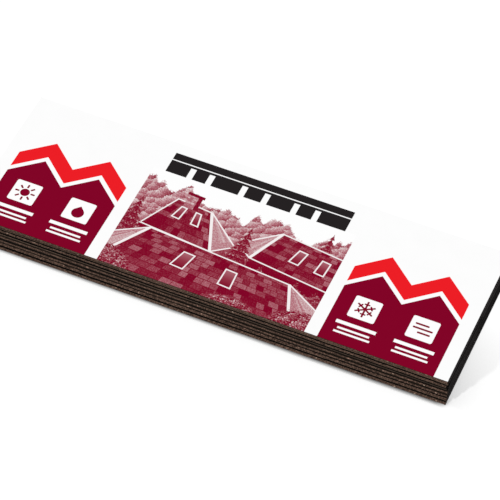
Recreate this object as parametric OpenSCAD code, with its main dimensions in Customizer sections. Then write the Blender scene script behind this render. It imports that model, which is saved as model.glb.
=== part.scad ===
// A bundle of laminated asphalt shingles under a printed cover sheet.
// It lies flat: the length runs along X, the long front edge faces -Y,
// and the origin is at the middle of the underside.

/* [Shingle] */
// Length of one shingle
shingle_l = 1000; // [600:1:1200]
// Width of one shingle, from its thick butt edge to its thin headlap edge
shingle_w = 342; // [240:1:420]
// Thickness of the full-width base sheet
base_t = 3.75; // [2.5:0.05:5]
// Thickness of each of the two strips laminated on the butt half
strip_t = 2.25; // [1.6:0.05:3.5]
// How much narrower the outer strip is than the inner one
strip_step = 4; // [1:0.5:20]
// How far the outer strip may be bonded back from the butt edge
strip_play = 3.5; // [0:0.5:10]
// Chamfer that the cutter leaves along the long edges of each layer
edge_break = 0.5; // [0.1:0.1:0.7]

/* [Stack] */
// Play of the shingles along the bundle, from one end to the other
end_play = 4; // [0:0.5:10]
// Play of the shingles across the bundle, from front to back
lay_play = 6; // [0:0.5:12]
// How far one end of a shingle may lie behind its other end
skew_play = 2.5; // [0:0.5:6]
// Least gap between the strips of two shingles that lie face to face
nest_gap = 2; // [0.5:0.5:10]

/* [Cover sheet] */
// Thickness of the printed sheet
cover_t = 0.25; // [0.15:0.05:1]
// How far the sheet stops short of the top shingle's long edges
cover_inset = 1; // [0:0.5:10]
// How far the sheet stops short of the top shingle's ends
cover_end_inset = 0; // [0:0.5:10]

/* [Hidden] */
// Turn of each face-to-face pair about Z, from the bottom of the stack
pair_turns = [0, 0, 0, 0, 180, 180];
// Where each shingle lies within the play along X, from -1 to 1
end_shares = [0.2, -0.5, 0.7, -0.3, 0.4, -0.7, 0.6, -0.6, 1, -1, 0.5, 0];
// Where each shingle lies within the play along Y, from -1 to 1
lay_shares = [-0.45, 0.9, -0.4, -0.1, -0.55, 0.8, -0.75, -0.45, 1, -1, -0.3, -0.7];
// How much of the skew each shingle has: its right end lies further back
skew_shares = [0.9, 0.2, 0.8, 0.9, 1, 0.6, 0.7, 0.7, 0.2, 0.2, 0.4, 0];
// Where each shingle's outer strip was bonded within its play, from 0 to 1
strip_shares = [0.2, 0.3, 0.2, 0.2, 1, 0.2, 1, 0.3, 0.2, 0.2, 0.4, 0.2];

shingle_n = 2 * len(pair_turns);
top_shingle = shingle_n - 1;
inner_strip_w = (shingle_w - lay_play - skew_play - nest_gap) / 2;
outer_strip_w = inner_strip_w - strip_step;
inner_strip_z = base_t + strip_t;
butt_t = inner_strip_z + strip_t;
pair_t = butt_t + base_t;
stack_h = len(pair_turns) * pair_t;

function shingle_name(i) = str("shingle_", i < 9 ? "0" : "", i + 1);
function lie(i) = [end_shares[i] * end_play / 2, lay_shares[i] * lay_play / 2];
function skew(i) = asin(skew_shares[i] * skew_play / shingle_l);

// The section across one layer, its long edges broken by the cutter
module layer_section(w, t) {
    polygon([
        [edge_break, 0],
        [w - edge_break, 0],
        [w, edge_break],
        [w, t - edge_break],
        [w - edge_break, t],
        [edge_break, t],
        [0, t - edge_break],
        [0, edge_break]
    ]);
}

// The section across a shingle: X runs from the butt edge, Y up from its back
module shingle_section(strip_back) {
    layer_section(shingle_w, base_t);
    translate([0, base_t])
        layer_section(inner_strip_w, strip_t);
    translate([strip_back, inner_strip_z])
        layer_section(outer_strip_w - strip_back, strip_t);
}

// One shingle face up, its butt edge to the front
module laminated_shingle(strip_back) {
    translate([0, -shingle_w / 2, 0])
        rotate([90, 0, 90])
            linear_extrude(height = shingle_l, center = true)
                shingle_section(strip_back);
}

// Every second shingle is turned over, so that its strips lie beside its neighbour's
module shingle(i) {
    pair = floor(i / 2);
    upper = i % 2;
    color("#50403a")
        translate([lie(i).x, lie(i).y, (pair + upper) * pair_t])
            rotate([180 * upper, 0, pair_turns[pair] + skew(i)])
                laminated_shingle(strip_shares[i] * strip_play);
}

module cover_sheet() {
    color("whitesmoke")
        translate([lie(top_shingle).x, lie(top_shingle).y, stack_h])
            rotate([0, 0, skew(top_shingle)])
                linear_extrude(height = cover_t)
                    square([shingle_l - 2 * cover_end_inset, shingle_w - 2 * cover_inset], center = true);
}

for (i = [0 : top_shingle])
    shingle(i);
cover_sheet();
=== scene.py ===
import bpy
import math
from mathutils import Matrix, Vector


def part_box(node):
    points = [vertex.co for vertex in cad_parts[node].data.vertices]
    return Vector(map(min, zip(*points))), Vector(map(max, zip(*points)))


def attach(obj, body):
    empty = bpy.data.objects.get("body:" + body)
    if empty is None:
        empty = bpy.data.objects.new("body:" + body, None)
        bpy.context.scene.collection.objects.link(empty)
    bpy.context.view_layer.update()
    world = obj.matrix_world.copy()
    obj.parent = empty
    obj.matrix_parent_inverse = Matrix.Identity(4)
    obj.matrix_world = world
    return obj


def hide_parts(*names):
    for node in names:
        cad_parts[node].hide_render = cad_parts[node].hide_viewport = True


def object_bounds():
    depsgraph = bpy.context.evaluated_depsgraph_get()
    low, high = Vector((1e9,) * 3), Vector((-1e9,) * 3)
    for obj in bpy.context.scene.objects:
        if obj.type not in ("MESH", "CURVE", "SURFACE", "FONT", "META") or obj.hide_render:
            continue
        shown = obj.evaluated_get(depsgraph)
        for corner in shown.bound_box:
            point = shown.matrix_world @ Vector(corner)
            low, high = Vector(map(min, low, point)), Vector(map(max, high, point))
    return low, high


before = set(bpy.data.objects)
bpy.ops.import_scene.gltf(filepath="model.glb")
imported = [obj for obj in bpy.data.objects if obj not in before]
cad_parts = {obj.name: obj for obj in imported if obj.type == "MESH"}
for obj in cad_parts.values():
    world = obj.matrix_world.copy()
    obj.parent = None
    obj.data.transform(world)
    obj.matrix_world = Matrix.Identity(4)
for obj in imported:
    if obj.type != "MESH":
        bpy.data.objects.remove(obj)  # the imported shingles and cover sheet, fixed in place
cadLow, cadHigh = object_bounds()
print("frame loaded:", len(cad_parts), "nodes")

mm = 0.001
tiny = 0.01 * mm  # how near two places count as the same
facing = 0.9  # a normal this far along an axis faces that way


def deselectAll():
    bpy.ops.object.select_all(action="DESELECT")


def clearPick(kind):  # edit mode with nothing selected, then object mode to select in code
    bpy.ops.object.mode_set(mode="EDIT")
    bpy.ops.mesh.select_mode(type=kind)
    bpy.ops.mesh.select_all(action="DESELECT")
    bpy.ops.object.mode_set(mode="OBJECT")


def pickFaces(piece, test):  # leaves selected only the faces whose centre and normal pass
    clearPick("FACE")
    for face in piece.data.polygons:
        face.select = test(face.center, face.normal)
    bpy.ops.object.mode_set(mode="EDIT")


def pickEdges(piece, test):  # leaves selected only the edges whose two ends pass
    clearPick("EDGE")
    points = piece.data.vertices
    for edge in piece.data.edges:
        edge.select = test(points[edge.vertices[0]].co, points[edge.vertices[1]].co)
    bpy.ops.object.mode_set(mode="EDIT")


def pickPoints(piece, test):  # leaves selected only the points that pass
    clearPick("VERT")
    for point in piece.data.vertices:
        point.select = test(point.co)
    bpy.ops.object.mode_set(mode="EDIT")


def linearColour(code):  # sRGB hex to the linear colour that a socket takes
    parts = [int(code[i:i + 2], 16) / 255 for i in (1, 3, 5)]
    return [p / 12.92 if p <= 0.04045 else ((p + 0.055) / 1.055) ** 2.4 for p in parts] + [1.0]


def addNode(tree, kind, settings=None, links=None):  # a link from a node takes its first output
    node = tree.nodes.new("ShaderNode" + kind)
    for key, value in (settings or {}).items():
        if key == "stops":  # places and colours along a ramp
            marks = node.color_ramp.elements
            marks.remove(marks[1])
            for i, (place, code) in enumerate(value):
                mark = marks.new(place) if i else marks[0]
                mark.position = place
                mark.color = linearColour(code)
        elif isinstance(key, str) and hasattr(node, key):
            setattr(node, key, value)
        else:
            node.inputs[key].default_value = value
    for key, source in (links or {}).items():
        tree.links.new(getattr(source, "outputs", [source])[0], node.inputs[key])
    return node


def newMaterial(name):
    material = bpy.data.materials.new(name)
    material.use_nodes = True
    material.node_tree.nodes.clear()
    return material, material.node_tree


def placeInMm(tree):  # the piece's own coordinates, in millimetres
    place = addNode(tree, "TexCoord").outputs["Object"]
    return addNode(tree, "Mapping", {"Scale": (1 / mm, 1 / mm, 1 / mm)}, {"Vector": place}).outputs[0]


# Camera, placed so that the edges of the bundle fall as in the photograph
cameraView = {
    "azimuth": 22.148,  # degrees round from the front
    "elevation": 49.185,
    "roll": 1.8,
    "distance": 5156.8 * mm,
    "aimRight": -28.54 * mm,  # where the bundle's middle lies from the view's middle
    "aimUp": -13.0 * mm,
    "lens": 191.29,  # mm
    "sensor": 36,  # mm wide
    "reach": 50,  # m, how far it sees
}


def turnFrom(azimuth, elevation, roll):
    turn = Matrix.Rotation(math.radians(azimuth), 3, "Z")
    turn = turn @ Matrix.Rotation(math.radians(90 - elevation), 3, "X")
    return turn @ Matrix.Rotation(math.radians(roll), 3, "Z")


turn = turnFrom(cameraView["azimuth"], cameraView["elevation"], cameraView["roll"])
aim = Vector((-cameraView["aimRight"], -cameraView["aimUp"], cameraView["distance"]))
deselectAll()
bpy.ops.object.camera_add(location=turn @ aim, rotation=turn.to_euler())
camera = bpy.context.object
camera.data.lens = cameraView["lens"]
camera.data.sensor_width = cameraView["sensor"]
camera.data.clip_end = cameraView["reach"]
bpy.context.scene.camera = camera
print("camera placed")

# Studio: a matte white floor that shows nothing but the bundle's soft shadow, a sun lamp and a white world
studio = {
    "floorSize": 12.0,  # m
    "floorColour": "#f2f2f2",
    "litFloor": 1.07,  # what an open stretch of floor comes to, so it is plain white
    "shadowGain": 0.72,  # share of the light on the floor that shows, where shadows are deepest
    "contactSamples": 16,
    "fades": {  # along which axis, from where to where, and from how much to how much
        "shadowFront": ("Y", -180 * mm, -166 * mm, 0.38, 1.0),  # shadows are weaker in front
        "shadowBack": ("Y", -166 * mm, 60 * mm, 1.0, 0.1),  # and fade away towards the back
        "contactReach": ("X", cadLow.x, cadHigh.x, 7.5 * mm, 10 * mm),  # spread of the line of contact
        "contactPower": ("X", cadLow.x, cadHigh.x, 1.65, 2.9),  # how dark it is
        "contactBack": ("Y", -172 * mm, -150 * mm, 1.0, 0.08),  # it is fainter beside and behind
        "contactEnd": ("X", 482 * mm, 507 * mm, 1.0, 0.15),  # and towards the right end
    },
    "worldStrength": 0.755,
    "sunStrength": 1.72,
    "sunAzimuth": -25.5,
    "sunElevation": 28.0,
    "sunDistance": 3.0,  # m, only where the lamp is drawn
    "sunWidth": 3.5,  # degrees across, so shadows have a soft edge
}


def seenDirectly(tree):  # 1 for what the camera sees, also in gloss or through glass
    rays = addNode(tree, "LightPath").outputs
    seen = addNode(tree, "Math", {"operation": "ADD"}, {0: rays["Is Camera Ray"], 1: rays["Is Glossy Ray"]})
    clamped = {"operation": "ADD", "use_clamp": True}
    return addNode(tree, "Math", clamped, {0: seen, 1: rays["Is Transmission Ray"]})


def floorMaterial():
    material, tree = newMaterial("matteWhiteFloor")
    seen = seenDirectly(tree)
    place = addNode(tree, "TexCoord").outputs["Object"]
    at = addNode(tree, "SeparateXYZ", {}, {0: place})
    fades = {}
    for label, (axis, near, far, first, last) in studio["fades"].items():
        ends = {1: near, 2: far, 3: first, 4: last}
        fades[label] = addNode(tree, "MapRange", ends, {0: at.outputs[axis]})
    both = {0: fades["shadowFront"], 1: fades["shadowBack"]}
    gain = addNode(tree, "Math", {"operation": "MULTIPLY"}, both)
    gain = addNode(tree, "Math", {"operation": "MULTIPLY", 1: studio["shadowGain"]}, {0: gain})
    samples = {"samples": studio["contactSamples"]}
    contact = addNode(tree, "AmbientOcclusion", samples, {"Distance": fades["contactReach"]}).outputs["AO"]
    contact = addNode(tree, "Math", {"operation": "POWER"}, {0: contact, 1: fades["contactPower"]})
    both = {0: fades["contactBack"], 1: fades["contactEnd"]}
    faint = addNode(tree, "Math", {"operation": "MULTIPLY"}, both)
    contact = addNode(tree, "Mix", {"data_type": "FLOAT", 2: 1.0}, {0: faint, 3: contact})
    lift = addNode(tree, "Math", {"operation": "SUBTRACT", 0: studio["litFloor"]}, {1: gain})
    lift = addNode(tree, "Math", {"operation": "MULTIPLY"}, {0: lift, 1: contact})
    lift = addNode(tree, "Math", {"operation": "MULTIPLY"}, {0: lift, 1: seen})
    gain = addNode(tree, "Math", {"operation": "MULTIPLY"}, {0: gain, 1: contact})
    plain = linearColour(studio["floorColour"])
    shown = addNode(tree, "Mix", {"data_type": "RGBA", 6: plain}, {0: seen, 7: gain}).outputs[2]
    matte = addNode(tree, "BsdfDiffuse", {}, {"Color": shown})
    glow = addNode(tree, "Emission", {"Color": (1, 1, 1, 1)}, {"Strength": lift})
    surface = addNode(tree, "AddShader", {}, {0: matte, 1: glow})
    addNode(tree, "OutputMaterial", {}, {"Surface": surface})
    return material


deselectAll()
bpy.ops.mesh.primitive_plane_add(size=studio["floorSize"], location=(0, 0, 0))
floor = bpy.context.object
floor.name = "floor"
floor.data.materials.append(floorMaterial())

deselectAll()
sunTurn = turnFrom(studio["sunAzimuth"], studio["sunElevation"], 0)
sunPlace = sunTurn @ Vector((0, 0, studio["sunDistance"]))
bpy.ops.object.light_add(type="SUN", location=sunPlace, rotation=sunTurn.to_euler())
sun = bpy.context.object
sun.data.energy = studio["sunStrength"]
sun.data.angle = math.radians(studio["sunWidth"])

world = bpy.data.worlds.new("whiteStudio")
bpy.context.scene.world = world
world.use_nodes = True
world.node_tree.nodes.clear()
strength = {"data_type": "FLOAT", 2: studio["worldStrength"], 3: 1.0}
strength = addNode(world.node_tree, "Mix", strength, {0: seenDirectly(world.node_tree)})
sky = addNode(world.node_tree, "Background", {"Color": (1, 1, 1, 1)}, {"Strength": strength})
addNode(world.node_tree, "OutputWorld", {}, {"Surface": sky})
bpy.context.scene.view_settings.view_transform = "Standard"
print("floor and light ready")

# Mineral granules pressed into bitumen: dull brown grit with a few pale and rosy grains
granuleLook = {
    "grain": 1.7,  # mm across one granule
    "clump": 2.5,  # mm across a patch of like granules, drawn coarse so that it shows
    "clumpNoise": {"Detail": 2.0, "Roughness": 0.6},
    "clumpLimits": (0.42, 0.58),  # close together, so that a patch is either dark or light
    "clumpShare": 0.7,  # how much of the tone comes from the patches
    "speck": 2.4,  # mm across a pale granule, larger than life so that it shows
    "tones": ((0.0, "#1c1412"), (0.2, "#342720"), (0.45, "#46362e"), (0.7, "#564339"), (0.9, "#6b5549")),
    "speckTones": ((0.0, "#6f5b4e"), (0.4, "#8c6a5e"), (0.75, "#8a7464"), (0.97, "#a28d7e")),
    "speckShare": 0.011,
    "ior": 1.55,
    "roughness": 0.9,
    "specular": 0.04,
    "relief": 0.6 * mm,
    "reliefStrength": 0.6,
}


def granuleMaterial():
    look = granuleLook
    material, tree = newMaterial("mineralGranules")
    place = placeInMm(tree)
    grains = addNode(tree, "TexVoronoi", {"Scale": 1 / look["grain"]}, {"Vector": place})
    grainTone = addNode(tree, "SeparateColor", {}, {0: grains.outputs["Color"]})
    patches = {"Scale": 1 / look["clump"], **look["clumpNoise"]}
    clumps = addNode(tree, "TexNoise", patches, {"Vector": place})
    low, high = look["clumpLimits"]
    clumpTone = addNode(tree, "MapRange", {1: low, 2: high, 3: 0.0, 4: 1.0}, {0: clumps})
    tone = addNode(tree, "Mix", {"data_type": "FLOAT", 0: look["clumpShare"]}, {2: grainTone, 3: clumpTone})
    brown = addNode(tree, "ValToRGB", {"stops": look["tones"]}, {0: tone})
    specks = addNode(tree, "TexVoronoi", {"Scale": 1 / look["speck"]}, {"Vector": place})
    draw = addNode(tree, "SeparateColor", {}, {0: specks.outputs["Color"]})
    isSpeck = addNode(tree, "Math", {"operation": "LESS_THAN", 1: look["speckShare"]}, {0: draw})
    pale = addNode(tree, "ValToRGB", {"stops": look["speckTones"]}, {0: draw.outputs[1]})
    colour = addNode(tree, "Mix", {"data_type": "RGBA"}, {0: isSpeck, 6: brown, 7: pale}).outputs[2]
    bumps = {"Strength": look["reliefStrength"], "Distance": look["relief"], "invert": True}
    bump = addNode(tree, "Bump", bumps, {"Height": grains.outputs["Distance"]})
    dull = {"IOR": look["ior"], "Roughness": look["roughness"], "Specular IOR Level": look["specular"]}
    surface = addNode(tree, "BsdfPrincipled", dull, {"Base Color": colour, "Normal": bump})
    addNode(tree, "OutputMaterial", {}, {"Surface": surface})
    return material


# Bitumen where it was cut: near black and dull, with fine upright blade marks
cutLook = {
    "tones": ((0.0, "#2d2a2a"), (0.35, "#272424"), (0.55, "#1f1d1d"), (0.68, "#262424"), (0.8, "#353232"),
              (0.9, "#353232"), (1.0, "#2e2b2b")),  # from the floor up: painted lighter where the end lies in shade, near the floor and where ends lie back
    "blade": 2.2,  # mm between blade marks
    "bladeStretch": 0.12,  # they run upright
    "bladeLimits": (0.35, 0.7),  # the range of the noise that makes them
    "bladeShare": (0.88, 1.12),  # how far they darken and lighten the tone
    "smear": "#43352b",  # granules dragged round the corner
    "smearReach": (158, 178),  # mm from the middle, where the smear starts and is full
    "smearPatch": 6,  # mm across one of its rags
    "smearRag": 15,  # mm, how far they reach
    "detail": 3.0,
    "ior": 1.6,
    "roughness": 0.85,
    "specular": 0.01,
    "relief": 0.3 * mm,
    "reliefStrength": 0.25,
}


def cutMaterial():
    look = cutLook
    material, tree = newMaterial("cutBitumen")
    place = placeInMm(tree)
    upright = addNode(tree, "Mapping", {"Scale": (1.0, 1.0, look["bladeStretch"])}, {"Vector": place})
    marks = {"Scale": 1 / look["blade"], "Detail": look["detail"]}
    blade = addNode(tree, "TexNoise", marks, {"Vector": upright})
    low, high = look["bladeLimits"]
    dark, light = look["bladeShare"]
    share = addNode(tree, "MapRange", {1: low, 2: high, 3: dark, 4: light}, {0: blade})
    at = addNode(tree, "SeparateXYZ", {}, {0: place})
    across, up = at.outputs["Y"], at.outputs["Z"]
    # painted light: the end's tone is set by height, lighter where it lies in shade
    up = addNode(tree, "MapRange", {1: 0.0, 2: cadHigh.z / mm, 3: 0.0, 4: 1.0}, {0: up})
    black = addNode(tree, "ValToRGB", {"stops": look["tones"]}, {0: up})
    black = addNode(tree, "VectorMath", {"operation": "SCALE"}, {0: black, "Scale": share})
    across = addNode(tree, "Math", {"operation": "ABSOLUTE"}, {0: across})
    rags = {"Scale": 1 / look["smearPatch"], "Detail": look["detail"]}
    rags = addNode(tree, "TexNoise", rags, {"Vector": place})
    ragged = addNode(tree, "MapRange", {3: -look["smearRag"], 4: look["smearRag"]}, {0: rags})
    across = addNode(tree, "Math", {"operation": "ADD"}, {0: across, 1: ragged})
    near, full = look["smearReach"]
    smear = addNode(tree, "MapRange", {1: near, 2: full, 3: 0.0, 4: 1.0}, {0: across})
    dragged = {"data_type": "RGBA", 7: linearColour(look["smear"])}
    colour = addNode(tree, "Mix", dragged, {0: smear, 6: black}).outputs[2]
    bumps = {"Strength": look["reliefStrength"], "Distance": look["relief"]}
    bump = addNode(tree, "Bump", bumps, {"Height": blade})
    dull = {"IOR": look["ior"], "Roughness": look["roughness"], "Specular IOR Level": look["specular"]}
    surface = addNode(tree, "BsdfPrincipled", dull, {"Base Color": colour, "Normal": bump})
    addNode(tree, "OutputMaterial", {}, {"Surface": surface})
    return material


# Bitumen dusted with sand so that the sheets don't stick: dark, dull, fine grit
sandLook = {
    "grit": 1.6,  # mm, coarser than life so that it shows
    "gritDetail": 2.0,
    "gritLimits": (0.35, 0.7),  # the range of the noise that makes it
    "gritShare": (0.5, 1.5),  # how far it darkens and lightens the tone
    "ends": (-500, 500),  # mm, from where to where the tone changes along the bundle
    "faces": ("#050404", "#050404"),  # tones of the sheet faces at the left and right ends
    "thinEdge": ("#29211c", "#29211c"),  # of the thin edges, which carry some stray granules
    "corner": ("#050404", "#443930"),  # of the dark butt corners, near black at the left and brown at the right
    "dusty": {  # edges and ledges painted lighter or darker, by shingle and along the length, to set how dark the shade in each recess looks
        2: ("#030202", "#41352d"),
        4: ("#1f1915", "#040303"),
        5: ("#171210", "#251e18"),
        6: ("#171210", "#251e18"),
        7: ("#2f2620", "#191411"),
        8: ("#54443a", "#372d26"),
        9: ("#030303", "#0e0b0a"),
        11: ("#4a3b31", "#5a493d"),
    },
    "ior": 1.6,
    "roughness": 0.85,
    "specular": 0.04,
    "relief": 0.3 * mm,
    "reliefStrength": 0.4,
}


def sandMaterial(name, tones):
    look = sandLook
    material, tree = newMaterial(name)
    place = placeInMm(tree)
    grit = {"Scale": 1 / look["grit"], "Detail": look["gritDetail"]}
    grit = addNode(tree, "TexNoise", grit, {"Vector": place})
    low, high = look["gritLimits"]
    dark, light = look["gritShare"]
    share = addNode(tree, "MapRange", {1: low, 2: high, 3: dark, 4: light}, {0: grit})
    # the tone changes from the left end to the right; on the dusty edges this paints how dark their shade
    # looks
    left, right = look["ends"]
    along = addNode(tree, "SeparateXYZ", {}, {0: place}).outputs["X"]
    along = addNode(tree, "MapRange", {1: left, 2: right, 3: 0.0, 4: 1.0}, {0: along})
    ends = {"data_type": "RGBA", 6: linearColour(tones[0]), 7: linearColour(tones[1])}
    tone = addNode(tree, "Mix", ends, {0: along}).outputs[2]
    colour = addNode(tree, "VectorMath", {"operation": "SCALE"}, {0: tone, "Scale": share})
    bumps = {"Strength": look["reliefStrength"], "Distance": look["relief"]}
    bump = addNode(tree, "Bump", bumps, {"Height": grit})
    dull = {"IOR": look["ior"], "Roughness": look["roughness"], "Specular IOR Level": look["specular"]}
    surface = addNode(tree, "BsdfPrincipled", dull, {"Base Color": colour, "Normal": bump})
    addNode(tree, "OutputMaterial", {}, {"Surface": surface})
    return material


finishes = {  # of a shingle, in the order of its material slots
    "faces": sandMaterial("sandedBitumen", sandLook["faces"]),
    "granules": granuleMaterial(),
    "thinEdge": sandMaterial("edgeBitumen", sandLook["thinEdge"]),
    "cut": cutMaterial(),
    "corner": sandMaterial("cornerBitumen", sandLook["corner"]),
}
finishSlots = list(finishes)
print("shingle materials ready")

# Laminated shingle: a base sheet with two strips bonded on its butt half
lowest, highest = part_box("shingle_12")  # the top one lies straight, so its box is its size
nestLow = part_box("shingle_11")[0]
shingleForm = {
    "length": highest.x - lowest.x,
    "width": highest.y - lowest.y,
    "baseThick": lowest.z - nestLow.z,  # strips of the upper of a pair reach down to the lower's base
    "buttThick": highest.z - lowest.z,
    "stripWidth": 165.75 * mm,
    "stripStep": 4 * mm,
    "stripPlay": 3.5 * mm,  # how far an outer strip may be bonded back from the edge
    "stripShares": (0.2, 0.3, 0.2, 0.2, 1, 0.2, 1, 0.3, 0.2, 0.2, 0.4, 0.2),  # from the lowest up
    "darkLedge": 2 * mm,  # an outer strip set back further than this shows bare bitumen on its front, toned dark so that it also paints the shade of its recess
    "darkCornerFaces": {1: 1.1 * mm, 10: 1.7 * mm},  # butt corners toned dark: how deep, by shingle
    "darkCornerBacks": {3: 1.1 * mm},  # the same on the back
    "edgeRound": 0.5 * mm,
    "roundSteps": 2,
    "seamDepth": 0.5 * mm,
    "cutsAlong": (24, 19),  # two rounds of cuts, 2 mm cells along the edges
    "cutsUp": 2,
    "slab": 3.0 * mm,  # width of one blade mark on a cut end
    "endDust": (6 * mm, 14 * mm),  # faces this near an end, and this far from an edge, look cut too
    "flatFrom": (0.6, 0.8),  # upright share of a flat face's normal, at the butt and the headlap
    "endWeight": 0.12,  # cut ends are smoother than the edges
    "straightPairs": 4,  # pairs above these lie the other way round
    "grit": 3.0 * mm,  # size of the broken relief along the edges
    "gritDepth": 0.8 * mm,
    "reliefDetail": 2,
    "reliefReach": 10 * mm,  # how far from an edge the sheet is flat again
    "wander": 90 * mm,  # length of the slow wander of a cut edge
    "wanderDepth": 0.7 * mm,
    "smoothAngle": 40,  # degrees
}
stripBack = min(shingleForm["stripShares"]) * shingleForm["stripPlay"]
outerFoot = (shingleForm["buttThick"] + shingleForm["baseThick"]) / 2  # height of the ledge


def giveFinish(shingle, finish):  # to the faces that are selected
    shingle.active_material_index = finishSlots.index(finish)
    bpy.ops.object.material_slot_assign()


def modelShingle():
    length, width = shingleForm["length"], shingleForm["width"]
    base, top = shingleForm["baseThick"], shingleForm["buttThick"]
    strip = (top - base) / 2
    butt, headlap = -width / 2, width / 2
    inner = butt + shingleForm["stripWidth"]
    outer = inner - shingleForm["stripStep"]
    back = butt + stripBack
    edgeRound, seam, steps = shingleForm["edgeRound"], shingleForm["seamDepth"], shingleForm["roundSteps"]
    deselectAll()
    bpy.ops.mesh.primitive_cube_add(size=1, location=(0, 0, base / 2), scale=(length, width, base))
    shingle = bpy.context.object
    bpy.ops.object.transform_apply(location=True, rotation=True, scale=True)
    bpy.ops.object.mode_set(mode="EDIT")
    bpy.ops.mesh.select_all(action="SELECT")
    bpy.ops.mesh.bisect(plane_co=(0, inner, 0), plane_no=(0, 1, 0))
    pickFaces(shingle, lambda c, n: n.z > facing and c.y < inner)
    bpy.ops.mesh.extrude_region_move(TRANSFORM_OT_translate={"value": (0, 0, strip)})
    for cut in (outer, back):  # the outer strip is narrower and starts a little behind
        pickFaces(shingle, lambda c, n: n.z > facing and c.z > base + tiny)
        bpy.ops.mesh.bisect(plane_co=(0, cut, 0), plane_no=(0, 1, 0))
    pickFaces(shingle, lambda c, n: n.z > facing and c.z > base + tiny and back < c.y < outer)
    bpy.ops.mesh.extrude_region_move(TRANSFORM_OT_translate={"value": (0, 0, strip)})
    for side in (-1, 1):  # each end becomes one face again
        pickFaces(shingle, lambda c, n: n.x * side > facing)
        bpy.ops.mesh.dissolve_faces()

    def alongAt(a, b, places):  # edges along the length at some places of the section
        near = [abs(a.y - y) < tiny and abs(a.z - z) < tiny for y, z in places]
        return abs(a.x - b.x) > length / 2 and any(near)

    def upright(a, b):
        return abs(a.x - b.x) < tiny and abs(a.y - b.y) < tiny and abs(a.z - b.z) > 2 * seam

    corners = ((butt, 0), (butt, outerFoot), (back, top), (headlap, 0), (headlap, base))
    pickEdges(shingle, lambda a, b: alongAt(a, b, corners))
    bpy.ops.mesh.bevel(offset=edgeRound, segments=steps, affect="EDGES")  # worn long corners
    pickEdges(shingle, lambda a, b: alongAt(a, b, ((butt, base),)))
    bpy.ops.mesh.bevel(offset=seam, segments=steps, affect="EDGES")  # seam of the first strip
    pickPoints(shingle, lambda p: abs(p.y - butt) < tiny and abs(p.z - base) < tiny)
    bpy.ops.transform.translate(value=(0, seam, 0))
    pickEdges(shingle, upright)
    bpy.ops.mesh.subdivide(number_cuts=shingleForm["cutsUp"])
    for flat in (butt + shingleForm["reliefReach"], headlap - shingleForm["reliefReach"]):
        pickFaces(shingle, lambda c, n: True)
        bpy.ops.mesh.bisect(plane_co=(0, flat, 0), plane_no=(0, 1, 0))
    cell = length
    for cuts in shingleForm["cutsAlong"]:
        pickEdges(shingle, lambda a, b: abs(a.x - b.x) > cell / 2)
        bpy.ops.mesh.subdivide(number_cuts=cuts)
        cell = cell / (cuts + 1)
    slabs = round(width / shingleForm["slab"])
    for i in range(1, slabs):  # upright blade marks across both ends
        pickFaces(shingle, lambda c, n: abs(n.x) > facing)
        bpy.ops.mesh.bisect(plane_co=(0, butt + width * i / slabs, 0), plane_no=(0, 1, 0))

    shingle.vertex_groups.new(name="edges")  # where the relief goes
    tools = bpy.context.scene.tool_settings
    tools.vertex_group_weight = 1.0
    pickPoints(shingle, lambda p: p.y < back + edgeRound + tiny or p.y > headlap - edgeRound - tiny)
    bpy.ops.object.vertex_group_assign()
    tools.vertex_group_weight = shingleForm["endWeight"]
    pickPoints(shingle, lambda p: abs(p.x) > length / 2 - tiny)
    bpy.ops.object.vertex_group_assign()

    bpy.ops.object.mode_set(mode="OBJECT")
    for material in finishes.values():
        shingle.data.materials.append(material)
    dusty, clear = shingleForm["endDust"]
    dusty, clear = length / 2 - dusty, width / 2 - clear
    flatButt, flatHeadlap = shingleForm["flatFrom"]
    places = {  # each over those before
        "faces": lambda c, n: True,
        "granules": lambda c, n: c.y < back + edgeRound and (n.z < flatButt or c.z < top - 2 * edgeRound),
        "thinEdge": lambda c, n: c.y > headlap - edgeRound and abs(n.z) < flatHeadlap,
        "cut": lambda c, n: abs(n.x) > facing or abs(c.x) > dusty and abs(c.y) < clear,
    }
    for finish, test in places.items():
        pickFaces(shingle, test)
        giveFinish(shingle, finish)
    bpy.ops.object.mode_set(mode="OBJECT")
    print("one shingle modelled:", len(shingle.data.polygons), "faces")
    return shingle


reliefs = []  # slow wander of the cut, then broken grit
for label in ("wander", "grit"):
    noise = bpy.data.textures.new(label, "CLOUDS")
    noise.noise_scale = shingleForm[label]
    noise.noise_depth = shingleForm["reliefDetail"]
    reliefs.append((label, noise, shingleForm[label + "Depth"]))


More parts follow.
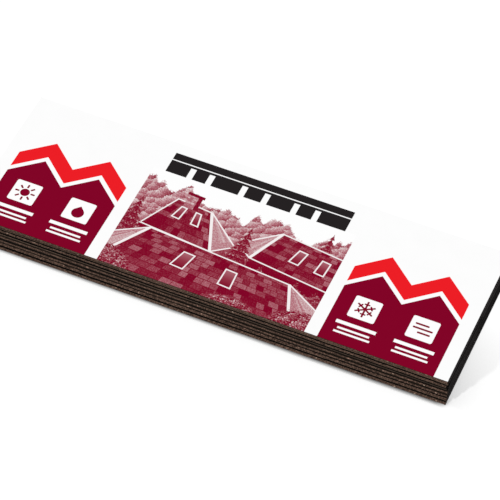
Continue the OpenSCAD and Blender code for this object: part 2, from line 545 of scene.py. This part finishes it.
def layShingle(master, node):
    low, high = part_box(node)
    number = int(node[-2:])
    faceDown = number % 2 == 0  # the upper one of each pair lies on its face
    turned = number > 2 * shingleForm["straightPairs"]
    skew = math.asin((high.y - low.y - shingleForm["width"]) / shingleForm["length"])
    late = shingleForm["stripShares"][number - 1] * shingleForm["stripPlay"] - stripBack
    back = -shingleForm["width"] / 2 + stripBack
    edgeRound = shingleForm["edgeRound"]
    deselectAll()
    master.select_set(True)
    bpy.context.view_layer.objects.active = master
    bpy.ops.object.duplicate()
    shingle = bpy.context.object
    shingle.name = "laminatedShingle" + node[-2:]
    pickPoints(shingle, lambda p: -tiny < p.y - back < edgeRound + tiny and p.z > outerFoot - tiny)
    bpy.ops.transform.translate(value=(0, late, 0))  # the outer strip, as far back as it was bonded
    front = back + late + edgeRound
    # a strip set back this far takes the dark edge tone, which paints the shade in its recess
    if late + stripBack > shingleForm["darkLedge"]:
        pickFaces(shingle, lambda c, n: abs(n.x) < facing and c.z > outerFoot - tiny and c.y < front)
        giveFinish(shingle, "thinEdge")
    darkCornerAbove = shingleForm["buttThick"] - shingleForm["darkCornerFaces"].get(number, 0)
    darkCornerBelow = shingleForm["darkCornerBacks"].get(number, 0)
    # butt faces outside that band take the dark corner tone
    pickFaces(shingle, lambda c, n: abs(n.x) < facing and c.y < front and not darkCornerBelow < c.z < darkCornerAbove)
    giveFinish(shingle, "corner")
    bpy.ops.object.mode_set(mode="OBJECT")
    shingle.rotation_euler = (math.pi if faceDown else 0, 0, (math.pi if turned else 0) + skew)
    shingle.location = ((low.x + high.x) / 2, (low.y + high.y) / 2, high.z if faceDown else low.z)
    bpy.ops.object.transform_apply(location=True, rotation=True, scale=True)
    for label, noise, depth in reliefs:
        relief = shingle.modifiers.new(label, "DISPLACE")
        relief.texture = noise
        relief.texture_coords = "LOCAL"
        relief.vertex_group = "edges"
        relief.mid_level = 1.0  # inwards only, so the shingle keeps to its size
        relief.strength = depth
        bpy.ops.object.modifier_apply(modifier=label)
    # this shingle's edges and ledges get tones painted lighter or darker, to set how dark the shade in its
    # recesses looks
    if number in sandLook["dusty"]:
        dusty = sandMaterial("edgeBitumen" + node[-2:], sandLook["dusty"][number])
        shingle.material_slots[finishSlots.index("thinEdge")].material = dusty
    bpy.ops.object.shade_smooth_by_angle(angle=math.radians(shingleForm["smoothAngle"]))
    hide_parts(node)
    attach(shingle, "root")
    return shingle


master = modelShingle()
shingles = [layShingle(master, node) for node in sorted(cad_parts) if node.startswith("shingle")]
deselectAll()
master.select_set(True)
bpy.ops.object.delete()
print("bundle laid:", len(shingles), "shingles")

# Printed cover: coated paper, offset printed, smooth and hardly shiny, in crimson, red and black inks


def roundedBox(tree, place, middle, half, corner):  # mask that is 1 inside
    shift = addNode(tree, "VectorMath", {"operation": "SUBTRACT", 1: (middle[0], middle[1], 0)}, {0: place})
    fold = addNode(tree, "VectorMath", {"operation": "ABSOLUTE"}, {0: shift})
    inset = (half[0] - corner, half[1] - corner, 0)
    past = addNode(tree, "VectorMath", {"operation": "SUBTRACT", 1: inset}, {0: fold})
    past = addNode(tree, "VectorMath", {"operation": "MAXIMUM", 1: (0, 0, 0)}, {0: past})
    reach = addNode(tree, "VectorMath", {"operation": "LENGTH"}, {0: past}).outputs["Value"]
    return addNode(tree, "Math", {"operation": "LESS_THAN", 1: corner + tiny}, {0: reach})


def turnedPlace(tree, place, middle, degrees):  # the sheet as a motif turned that far sees it
    back = addNode(tree, "VectorMath", {"operation": "SUBTRACT", 1: (middle[0], middle[1], 0)}, {0: place})
    turn = {"rotation_type": "Z_AXIS", "Angle": math.radians(-degrees)}
    return addNode(tree, "VectorRotate", turn, {0: back})


def insideDepth(tree, place, corners):  # how far inside an outline a place lies
    depth = None
    for a, b in zip(corners, corners[1:] + corners[:1]):
        run = math.dist(a, b)
        inward = ((a[1] - b[1]) / run, (b[0] - a[0]) / run, 0)
        start = inward[0] * a[0] + inward[1] * a[1]
        towards = {"operation": "DOT_PRODUCT", 1: inward}
        edge = addNode(tree, "VectorMath", towards, {0: place}).outputs["Value"]
        edge = addNode(tree, "Math", {"operation": "SUBTRACT", 1: start}, {0: edge})
        depth = addNode(tree, "Math", {"operation": "MINIMUM"}, {0: depth, 1: edge}) if depth else edge
    return depth


def joined(tree, masks):  # mask that is 1 where any of them is
    whole = masks[0]
    for mask in masks[1:]:
        whole = addNode(tree, "Math", {"operation": "MAXIMUM"}, {0: whole, 1: mask})
    return whole


markLook = {  # sizes of the weather marks on the tiles in mm
    "round": 1.5,  # corners
    "sunDisc": 9.5,
    "sunRay": (16.5, 4.5, 1.9),  # place, half length and half width
    "sunTurns": (0, 45, 90, 135),  # degrees
    "dropBowl": 12.5,
    "dropSink": 5.5,  # how far the bowl lies below the middle
    "dropTurn": 45,  # of the square that makes its tip
    "snowArm": (20.5, 1.9),  # half length and half width
    "snowBarb": (12.5, 1.7, 5.8),  # place, half width and half length
    "snowTurns": (30, 90, 150),
    "windBars": ((10, -4, 14), (0, 0, 20), (-10, 5, 13)),  # rise, shift and half length
    "windHalf": 2.1,
}


def sunMark(tree, place, middle):
    disc, (reach, half, thick) = markLook["sunDisc"], markLook["sunRay"]
    parts = [roundedBox(tree, place, middle, (disc, disc), disc)]
    for turn in markLook["sunTurns"]:
        ray = turnedPlace(tree, place, middle, turn)
        for side in (-1, 1):
            parts.append(roundedBox(tree, ray, (side * reach, 0), (half, thick), markLook["round"]))
    return joined(tree, parts)


def dropMark(tree, place, middle):
    bowl = markLook["dropBowl"]
    low = (middle[0], middle[1] - markLook["dropSink"])
    tip = turnedPlace(tree, place, low, markLook["dropTurn"])
    pointed = roundedBox(tree, tip, (bowl / 2, bowl / 2), (bowl / 2, bowl / 2), 0)
    return joined(tree, [roundedBox(tree, place, low, (bowl, bowl), bowl), pointed])


def snowMark(tree, place, middle):
    (reach, thick), (barb, barbThick, barbHalf) = markLook["snowArm"], markLook["snowBarb"]
    parts = []
    for turn in markLook["snowTurns"]:
        arm = turnedPlace(tree, place, middle, turn)
        parts.append(roundedBox(tree, arm, (0, 0), (reach, thick), markLook["round"]))
        for side in (-1, 1):
            parts.append(roundedBox(tree, arm, (side * barb, 0), (barbThick, barbHalf), markLook["round"]))
    return joined(tree, parts)


def windMark(tree, place, middle):
    thick = markLook["windHalf"]
    parts = []
    for rise, shift, half in markLook["windBars"]:
        parts.append(roundedBox(tree, place, (middle[0] + shift, middle[1] + rise), (half, thick), thick))
    return joined(tree, parts)


pictureLook = {  # shingled roofs among trees, in one ink: tones from 0, full ink, to 1, bare paper
    "half": 214,  # half its width on the sheet
    "scale": 1.16,  # its own coordinates, in which the layers are drawn
    "shift": (262, 28, 0),
    "inkTones": ((0.0, "#800025"), (0.07, "#83122d"), (0.2, "#923345"), (0.45, "#b4737d"),
                 (0.8, "#e1cfcf"), (1.0, "#fdfdfd")),
    "noiseReach": (0.3, 0.7),  # the range of a noise that is used
    "grain": 3.4,  # mm, grain of the printed picture, coarse so that it shows
    "grainNoise": {"Detail": 2.0, "Roughness": 0.7},
    "grainDepth": 0.14,
    "leaf": 4.2,  # mm across a clump of leaves, coarse so that it shows
    "leafNoise": {"Detail": 3.0, "Roughness": 0.75},
    "glint": (0.46, 0.66, 0.85),  # from where leaves catch the light, where fully, and how much
    "light": (-0.6, 0.8),  # from the upper left
    "skylineDetail": 2.0,
    "rag": 7,  # how far leaves stand out of an outline
    "stir": 14,  # how far the outlines of crowns are stirred up
    "farLeaves": (19, 0.4, 0.4, 0.3),  # crown size, tone, its spread and the share of lit leaves
    "midLeaves": (13, 0.06, 0.3, 0.5),
    "nearLeaves": (15, 0.04, 0.35, 0.85),
    "trim": 3.4,  # pale edge of a slope or window
    "trimTone": 0.93,
    "courses": {  # how tabs are laid, in heights of a course: two long, with a dark joint round each
        "offset": 0.41, "squash": 0.75, "squash_frequency": 3, "Scale": 1.0, "Brick Width": 2.0,
        "Row Height": 1.0, "Mortar Size": 0.06, "Mortar Smooth": 0.2, "Bias": 0.0,
        "Color1": (0, 0, 0, 1), "Color2": (1, 1, 1, 1), "Mortar": (0, 0, 0, 1),
    },
    "glass": (0.02, 0.4),  # tone of a window from its foot to its head
    "tier": 19,  # depth of a tier of branches
    "tierFlare": 0.6,  # how much wider it is at its foot
    "tierRag": 0.5,  # share of the leaves' raggedness
    "tierTone": 0.1,  # at its head, in the shade of the one above
    "tipTiers": 2,  # over these the flare grows, so the tip is clean
    "layers": (  # from the back to the front
        # woods: foot, height and length of the skyline, leaves; conifer: trunk, tip, foot, spread
        # bush: middle, reach, leaves; slope: corners, tabs along and up, tone, its spread, trimmed, windows
        ("woods", (44, 76, 75, "farLeaves")),
        ("conifer", (466, 114, -20, 0.22)),
        ("slope", (((276, -30), (318, -62), (318, -30), (276, 0)), (3, 3), 0.2, 0.1, 0, ())),
        ("slope", (((318, -62), (520, -86), (520, -54), (318, -30)), (4, 3), -0.06, 0.08, 0, ())),
        ("slope", (((276, 0), (318, -30), (362, 68), (360, 68.4)), (5, 8), 0.5, 0.25, 1, ())),
        ("slope", (((318, -30), (520, -54), (520, 50), (362, 68)), (8, 8), -0.05, 0.42, 1,
                   ((0.36, 0.3, 0.5, 0.72), (0.7, 0.3, 0.84, 0.72)))),
        ("slope", (((232, -88), (280, -48), (280, -14), (232, -50)), (3, 3), 0.18, 0.1, 0, ())),
        ("slope", (((52, -70), (232, -88), (232, -50), (52, -34)), (5, 3), -0.06, 0.08, 0, ())),
        ("slope", (((232, -50), (280, -14), (192, 60.4), (190, 60)), (5, 8), 0.5, 0.25, 1, ())),
        ("slope", (((52, -34), (232, -50), (190, 60), (104, 68)), (8, 8), -0.05, 0.42, 1,
                   ((0.24, 0.3, 0.4, 0.72), (0.6, 0.3, 0.76, 0.72)))),
        ("slope", (((122, 50), (146, 48), (146, 88), (122, 90)), (3, 6), 0.35, 0.35, 0, ())),
        ("slope", (((146, 48), (156, 55), (156, 94), (146, 88)), (1, 6), 0.0, 0.1, 0, ())),
        ("slope", (((118, 88), (160, 85), (160, 93), (118, 96)), (1, 1), -0.1, 0.05, 0, ())),
        ("conifer", (30, 44, -150, 0.27)),
        ("conifer", (292, 56, -150, 0.25)),
        ("woods", (-104, 58, 46, "midLeaves")),
        ("slope", (((-160, -180), (-60, -260), (84, -36), (82, -35.6)), (8, 14), 0.45, 0.25, 1, ())),
        ("slope", (((520, -300), (640, -180), (432, -61.6), (430, -62)), (8, 14), 0.45, 0.25, 1, ())),
        ("slope", (((-60, -260), (520, -300), (430, -62), (84, -36)), (17, 13), -0.05, 0.42, 1,
                   ((0.3, 0.55, 0.38, 0.82), (0.58, 0.55, 0.66, 0.82)))),
        ("bush", ((10, -180), (80, 62), "nearLeaves")),
        ("bush", ((505, -176), (88, 52), "nearLeaves")),
        ("bush", ((330, -186), (70, 40), "nearLeaves")),
    ),
}


def unitToSlope(corners):  # matrix from a unit square to a slope seen in perspective
    (x0, y0), (x1, y1), (x2, y2), (x3, y3) = corners
    sumX, sumY = x0 - x1 + x2 - x3, y0 - y1 + y2 - y3
    spread = (x1 - x2) * (y3 - y2) - (x3 - x2) * (y1 - y2)
    g = (sumX * (y3 - y2) - sumY * (x3 - x2)) / spread
    h = ((x1 - x2) * sumY - (y1 - y2) * sumX) / spread
    toX = (x1 - x0 + g * x1, x3 - x0 + h * x3, x0)
    toY = (y1 - y0 + g * y1, y3 - y0 + h * y3, y0)
    return Matrix((toX, toY, (g, h, 1)))


def roofPicture(tree, place):
    look = pictureLook
    scale = (look["scale"], look["scale"], 0)
    place = addNode(tree, "Mapping", {"Scale": scale, "Location": look["shift"]}, {"Vector": place})
    at = addNode(tree, "SeparateXYZ", {}, {0: place})
    x, y = at.outputs["X"], at.outputs["Y"]
    lifted = addNode(tree, "VectorMath", {"operation": "ADD", 1: (0, 0, 1)}, {0: place})
    low, high = look["noiseReach"]
    fine = {"Scale": 1 / look["grain"], **look["grainNoise"]}
    fine = addNode(tree, "TexNoise", fine, {"Vector": place})
    deep = look["grainDepth"]
    grain = addNode(tree, "MapRange", {1: low, 2: high, 3: -deep, 4: deep}, {0: fine})
    leaves = {"Scale": 1 / look["leaf"], **look["leafNoise"]}
    leaves = addNode(tree, "TexNoise", leaves, {"Vector": place})
    first, full, shine = look["glint"]
    glint = addNode(tree, "MapRange", {1: first, 2: full, 3: 0.0, 4: shine}, {0: leaves})
    rag = look["rag"]
    ragged = addNode(tree, "MapRange", {1: low, 2: high, 3: -rag, 4: rag}, {0: leaves})
    stir = {"operation": "MULTIPLY_ADD", 1: (look["stir"], look["stir"], 0)}
    stirred = addNode(tree, "VectorMath", stir, {0: leaves.outputs["Color"], 2: place})
    tone = None

    def layOver(mask, shade):  # what is nearer hides what is behind
        nonlocal tone
        links = {0: mask, 2: tone, 3: shade} if tone else {0: mask, 3: shade}
        tone = addNode(tree, "Mix", {"data_type": "FLOAT", 2: 1.0}, links)

    def crowns(kind):  # tone of round crowns, lit from one side
        size, middle, spread, shine = look[kind]
        aslant, above = look["light"]
        cells = {"voronoi_dimensions": "2D", "Scale": 1 / size}
        cells = addNode(tree, "TexVoronoi", cells, {"Vector": stirred})
        aside = {0: stirred, 1: cells.outputs["Position"]}
        aside = addNode(tree, "VectorMath", {"operation": "SUBTRACT"}, aside)
        towards = {"operation": "DOT_PRODUCT", 1: (aslant / size, above / size, 0)}
        lit = addNode(tree, "VectorMath", towards, {0: aside}).outputs["Value"]
        shade = addNode(tree, "Math", {"operation": "MULTIPLY_ADD", 1: spread, 2: middle}, {0: lit})
        shade = addNode(tree, "Math", {"operation": "ADD"}, {0: shade, 1: grain})
        return addNode(tree, "Math", {"operation": "MULTIPLY_ADD", 1: shine}, {0: glint, 2: shade})

    def woods(foot, height, length, kind):  # crowns under an uneven skyline
        swell = {"noise_dimensions": "1D", "Scale": 1 / length, "Detail": look["skylineDetail"]}
        swell = addNode(tree, "TexNoise", swell, {"W": x})
        line = addNode(tree, "MapRange", {1: low, 2: high, 3: foot, 4: foot + height}, {0: swell})
        line = addNode(tree, "Math", {"operation": "ADD"}, {0: line, 1: ragged})
        mask = addNode(tree, "Math", {"operation": "GREATER_THAN"}, {0: line, 1: y})
        layOver(mask, crowns(kind))

    def bush(middle, reach, kind):
        away = {"operation": "SUBTRACT", 1: (middle[0], middle[1], 0)}
        away = addNode(tree, "VectorMath", away, {0: place})
        away = addNode(tree, "VectorMath", {"operation": "DIVIDE", 1: (reach[0], reach[1], 1)}, {0: away})
        away = addNode(tree, "VectorMath", {"operation": "LENGTH"}, {0: away}).outputs["Value"]
        away = addNode(tree, "Math", {"operation": "MULTIPLY_ADD", 1: 1 / reach[1]}, {0: ragged, 2: away})
        mask = addNode(tree, "Math", {"operation": "LESS_THAN", 1: 1.0}, {0: away})
        layOver(mask, crowns(kind))

    def conifer(trunk, tip, foot, spread):
        tierDepth, flare = look["tier"], look["tierFlare"]
        below = addNode(tree, "Math", {"operation": "SUBTRACT", 0: tip}, {1: y})
        tier = addNode(tree, "Math", {"operation": "WRAP", 1: 0.0, 2: tierDepth}, {0: below})
        width = {"operation": "MULTIPLY_ADD", 1: flare, 2: -flare / 2 * tierDepth}
        width = addNode(tree, "Math", width, {0: tier})
        uneven = {"operation": "MULTIPLY_ADD", 1: look["tierRag"]}
        width = addNode(tree, "Math", uneven, {0: ragged, 2: width})
        grown = {1: 0.0, 2: look["tipTiers"] * tierDepth, 3: 0.0, 4: 1.0}
        grown = addNode(tree, "MapRange", grown, {0: below})
        width = addNode(tree, "Math", {"operation": "MULTIPLY"}, {0: width, 1: grown})
        width = addNode(tree, "Math", {"operation": "MULTIPLY_ADD", 1: spread}, {0: below, 2: width})
        aside = addNode(tree, "Math", {"operation": "SUBTRACT", 1: trunk}, {0: x})
        aside = addNode(tree, "Math", {"operation": "ABSOLUTE"}, {0: aside})
        mask = addNode(tree, "Math", {"operation": "LESS_THAN"}, {0: aside, 1: width})
        stands = addNode(tree, "Math", {"operation": "GREATER_THAN", 1: foot}, {0: y})
        mask = addNode(tree, "Math", {"operation": "MULTIPLY"}, {0: mask, 1: stands})
        shade = addNode(tree, "MapRange", {1: 0.0, 2: tierDepth, 3: look["tierTone"], 4: 1.0}, {0: tier})
        layOver(mask, addNode(tree, "Math", {"operation": "MULTIPLY"}, {0: shade, 1: glint}))

    def panel(corners, surface, trimmed):  # a flat outline, with a pale edge where it is trimmed
        depth = insideDepth(tree, place, corners)
        if trimmed:
            rim = addNode(tree, "Math", {"operation": "LESS_THAN", 1: look["trim"]}, {0: depth})
            pale = {"data_type": "FLOAT", 3: look["trimTone"]}
            surface = addNode(tree, "Mix", pale, {0: rim, 2: surface})
        layOver(addNode(tree, "Math", {"operation": "GREATER_THAN", 1: 0.0}, {0: depth}), surface)

    def slope(corners, tabs, shade, spread, trimmed, windows):
        toSheet = unitToSlope(corners)
        scales = (look["courses"]["Brick Width"] * tabs[0], tabs[1], 1)
        rows = [row * scale for row, scale in zip(toSheet.inverted(), scales)]
        towards = [{"operation": "DOT_PRODUCT", 1: row} for row in rows]
        across, up, far = [addNode(tree, "VectorMath", to, {0: lifted}).outputs["Value"] for to in towards]
        laid = addNode(tree, "CombineXYZ", {}, {0: across, 1: up})
        laid = addNode(tree, "VectorMath", {"operation": "DIVIDE"}, {0: laid, 1: far})
        courses = addNode(tree, "TexBrick", look["courses"], {"Vector": laid})
        surface = addNode(tree, "Math", {"operation": "MULTIPLY_ADD", 1: spread, 2: shade}, {0: courses})
        surface = addNode(tree, "Math", {"operation": "ADD"}, {0: surface, 1: grain})
        panel(corners, surface, trimmed)
        for u0, v0, u1, v1 in windows:
            seen = [toSheet @ Vector((u, v, 1)) for u, v in ((u0, v0), (u1, v0), (u1, v1), (u0, v1))]
            seen = tuple((p.x / p.z, p.y / p.z) for p in seen)
            foot, head = look["glass"]
            glass = addNode(tree, "MapRange", {1: seen[1][1], 2: seen[3][1], 3: foot, 4: head}, {0: y})
            panel(seen, glass, True)

    painters = {"woods": woods, "bush": bush, "conifer": conifer, "slope": slope}
    for kind, values in look["layers"]:
        painters[kind](*values)
    return tone


printLook = {  # places and sizes on the sheet in mm; its two halves are alike but for the marks
    "paper": ("#fdfdfd", "#fafafa"),  # bright white, a little cloudy
    "cloud": 40,
    "cloudDetail": 2.0,
    "crimson": "#800025",
    "red": "#eb1c24",
    "black": "#231f20",
    "gables": (298, 414),  # how far the gables of the crimson panels lie from the middle
    "gableHalf": 58,
    "gableRise": 50,
    "eaves": -36,
    "rooflineGap": 12,  # bare paper between the gables and the red roofline, measured upright
    "roofline": 40,  # its depth, measured upright
    "tile": (-76, 27, 4),  # place, half width and corner of the white tile in each gable
    "rules": ((-122, 40, 4), (-136, 32, 2.4), (-146, 36, 2.4)),  # place, half length, half width
    "teeth": (44, 28, 58, 36, 50, 32, 60),  # widths of the teeth on a drawn shingle strip
    "toothGap": 12,
    "toothDepth": 27,
    "strip": (116, 26),  # foot and depth of its solid part
    "nailLine": (123, 1.3),  # bare line along it: place and half width
    "ior": 1.5,
    "roughness": 0.5,
    "specular": 0.015,
}


def stripMark(tree, place):  # a drawn shingle strip, solid above and toothed below
    foot, depth = printLook["strip"]
    gap, reach = printLook["toothGap"], printLook["toothDepth"]
    length = sum(printLook["teeth"]) + gap * (len(printLook["teeth"]) - 1)
    parts = [roundedBox(tree, place, (0, foot + depth / 2), (length / 2, depth / 2), 0)]
    left = -length / 2
    for width in printLook["teeth"]:
        middle = (left + width / 2, foot - reach / 2)
        parts.append(roundedBox(tree, place, middle, (width / 2, reach / 2), 0))
        left += width + gap
    line, thick = printLook["nailLine"]
    line = roundedBox(tree, place, (0, line), (length / 2, thick), 0)
    return addNode(tree, "Math", {"operation": "GREATER_THAN"}, {0: joined(tree, parts), 1: line})


def printMaterial():
    look = printLook
    material, tree = newMaterial("coatedPaperPrint")
    place = addNode(tree, "TexCoord").outputs["Object"]
    place = addNode(tree, "Mapping", {"Scale": (1 / mm, 1 / mm, 0)}, {"Vector": place}).outputs[0]
    at = addNode(tree, "SeparateXYZ", {}, {0: place})
    half, rise = look["gableHalf"], look["gableRise"]
    near, far = look["gables"][0] - half, look["gables"][-1] + half
    aside = addNode(tree, "Math", {"operation": "ABSOLUTE"}, {0: at.outputs["X"]})
    swing = addNode(tree, "Math", {"operation": "SUBTRACT", 1: near}, {0: aside})
    swing = addNode(tree, "Math", {"operation": "PINGPONG", 1: half}, {0: swing})
    gables = {"operation": "MULTIPLY_ADD", 1: rise / half, 2: look["eaves"]}
    gables = addNode(tree, "Math", gables, {0: swing})
    above = addNode(tree, "Math", {"operation": "SUBTRACT"}, {0: at.outputs["Y"], 1: gables})
    within = {"operation": "COMPARE", 1: (near + far) / 2, 2: (far - near) / 2}
    within = addNode(tree, "Math", within, {0: aside})
    panel = addNode(tree, "Math", {"operation": "LESS_THAN", 1: 0.0}, {0: above})
    deep = look["roofline"] / 2
    roofline = {"operation": "COMPARE", 1: look["rooflineGap"] + deep, 2: deep}
    roofline = addNode(tree, "Math", roofline, {0: above})
    inks = [("black", stripMark(tree, place))]
    for ink, mask in (("crimson", panel), ("red", roofline)):
        inks.append((ink, addNode(tree, "Math", {"operation": "MULTIPLY"}, {0: mask, 1: within})))
    row, tile, corner = look["tile"]
    inner, outer = look["gables"]
    marks = ((-outer, sunMark), (-inner, dropMark), (inner, snowMark), (outer, windMark))
    for gable, mark in marks:
        inks.append(("paper", roundedBox(tree, place, (gable, row), (tile, tile), corner)))
        inks.append(("crimson", mark(tree, place, (gable, row))))
        for line, length, width in look["rules"]:
            inks.append(("paper", roundedBox(tree, place, (gable, line), (length, width), 0)))
    cloud = {"Scale": 1 / look["cloud"], "Detail": look["cloudDetail"]}
    cloud = addNode(tree, "TexNoise", cloud, {"Vector": place})
    white, cloudy = [linearColour(code) for code in look["paper"]]
    colour = addNode(tree, "Mix", {"data_type": "RGBA", 6: white, 7: cloudy}, {0: cloud}).outputs[2]
    for ink, mask in inks:
        solid = white if ink == "paper" else linearColour(look[ink])
        colour = addNode(tree, "Mix", {"data_type": "RGBA", 7: solid}, {0: mask, 6: colour}).outputs[2]
    inPicture = addNode(tree, "Math", {"operation": "LESS_THAN", 1: pictureLook["half"]}, {0: aside})
    tones = addNode(tree, "ValToRGB", {"stops": pictureLook["inkTones"]}, {0: roofPicture(tree, place)})
    stands = {"operation": "LESS_THAN", 1: look["strip"][0] - look["toothDepth"]}
    stands = addNode(tree, "Math", stands, {0: at.outputs["Y"]})  # the strip has bare paper round it
    inPicture = addNode(tree, "Math", {"operation": "MULTIPLY"}, {0: inPicture, 1: stands})
    colour = addNode(tree, "Mix", {"data_type": "RGBA"}, {0: inPicture, 6: colour, 7: tones}).outputs[2]
    coated = {"IOR": look["ior"], "Roughness": look["roughness"], "Specular IOR Level": look["specular"]}
    surface = addNode(tree, "BsdfPrincipled", coated, {"Base Color": colour})
    addNode(tree, "OutputMaterial", {}, {"Surface": surface})
    print("print drawn:", len(tree.nodes), "nodes")
    return material


sheetForm = {
    "gridCuts": (99, 33),  # 10 mm cells
    "thick": 0.15 * mm,
    "ripple": 140 * mm,  # length of the slow waves in the paper
    "rippleHeight": 0.1 * mm,
    "smoothAngle": 30,  # degrees
}


def modelCover():
    low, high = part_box("cover_sheet")
    deselectAll()
    bpy.ops.mesh.primitive_plane_add(size=1, location=((low.x + high.x) / 2, (low.y + high.y) / 2, low.z))
    cover = bpy.context.object
    cover.name = "printedCover"
    cover.scale = (high.x - low.x, high.y - low.y, 1)
    bpy.ops.object.transform_apply(location=True, rotation=True, scale=True)
    runs = (lambda a, b: abs(a.x - b.x) > tiny, lambda a, b: abs(a.y - b.y) > tiny)
    for cuts, test in zip(sheetForm["gridCuts"], runs):
        pickEdges(cover, test)
        bpy.ops.mesh.subdivide(number_cuts=cuts)
    bpy.ops.object.mode_set(mode="OBJECT")
    noise = bpy.data.textures.new("paperRipple", "CLOUDS")
    noise.noise_scale = sheetForm["ripple"]
    ripple = cover.modifiers.new("ripple", "DISPLACE")
    ripple.texture = noise
    ripple.texture_coords = "LOCAL"
    ripple.mid_level = 0.0  # upwards only, so the sheet stays on the shingle
    ripple.strength = sheetForm["rippleHeight"]
    wall = cover.modifiers.new("paper", "SOLIDIFY")
    wall.thickness = sheetForm["thick"]
    wall.offset = 1.0
    for label in ("ripple", "paper"):
        bpy.ops.object.modifier_apply(modifier=label)
    bpy.ops.object.shade_smooth_by_angle(angle=math.radians(sheetForm["smoothAngle"]))
    cover.data.materials.append(printMaterial())
    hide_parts("cover_sheet")
    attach(cover, "root")
    return cover


cover = modelCover()
print("cover laid")
